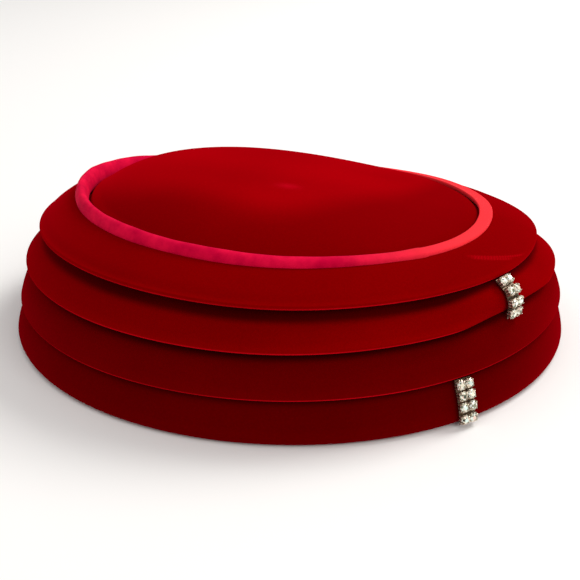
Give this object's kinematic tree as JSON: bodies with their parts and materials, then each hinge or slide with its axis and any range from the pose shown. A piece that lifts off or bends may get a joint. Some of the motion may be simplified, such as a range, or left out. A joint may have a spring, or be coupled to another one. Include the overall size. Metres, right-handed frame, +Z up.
{
  "type": "pillbox hat",
  "caption": "Soft oval pillbox hat of red velvet with folded tiers laid like shingles, a corded ring round its domed tip, and short crystal trims that wrap the folds.",
  "frame": {"origin": "middle of the base oval, on the surface the hat rests on", "axes": "+Z up; +Y is the long way of the oval, towards the back; the front is -Y, with the trims at the front on the -X side"},
  "size_m": [0.1799, 0.1999, 0.056],
  "materials": {
    "velvet": "deep red short-pile velvet, doubled over stiff backing, with a soft sheen where the pile turns away",
    "satin": "bright cherry red satin-faced bias cord, matt sheen",
    "setting_metal": "silver-coloured soldered cups with prongs, a little warm with age",
    "crystal": "clear faceted glass stones with a foiled back"
  },
  "bodies": {
    "root": {"crown": "velvet", "piping": "satin", "tier_1": "velvet", "tier_2": "velvet", "tier_3": "velvet", "tier_4": "velvet", "upper_trim_settings": "setting_metal", "lower_trim_settings": "setting_metal", "upper_trim_stone_1": "crystal", "upper_trim_stone_2": "crystal", "upper_trim_stone_3": "crystal", "upper_trim_stone_4": "crystal", "upper_trim_stone_5": "crystal", "upper_trim_stone_6": "crystal", "upper_trim_stone_7": "crystal", "upper_trim_stone_8": "crystal", "lower_trim_stone_1": "crystal", "lower_trim_stone_2": "crystal", "lower_trim_stone_3": "crystal", "lower_trim_stone_4": "crystal", "lower_trim_stone_5": "crystal", "lower_trim_stone_6": "crystal", "lower_trim_stone_7": "crystal", "lower_trim_stone_8": "crystal"}
  },
  "joints": []
}
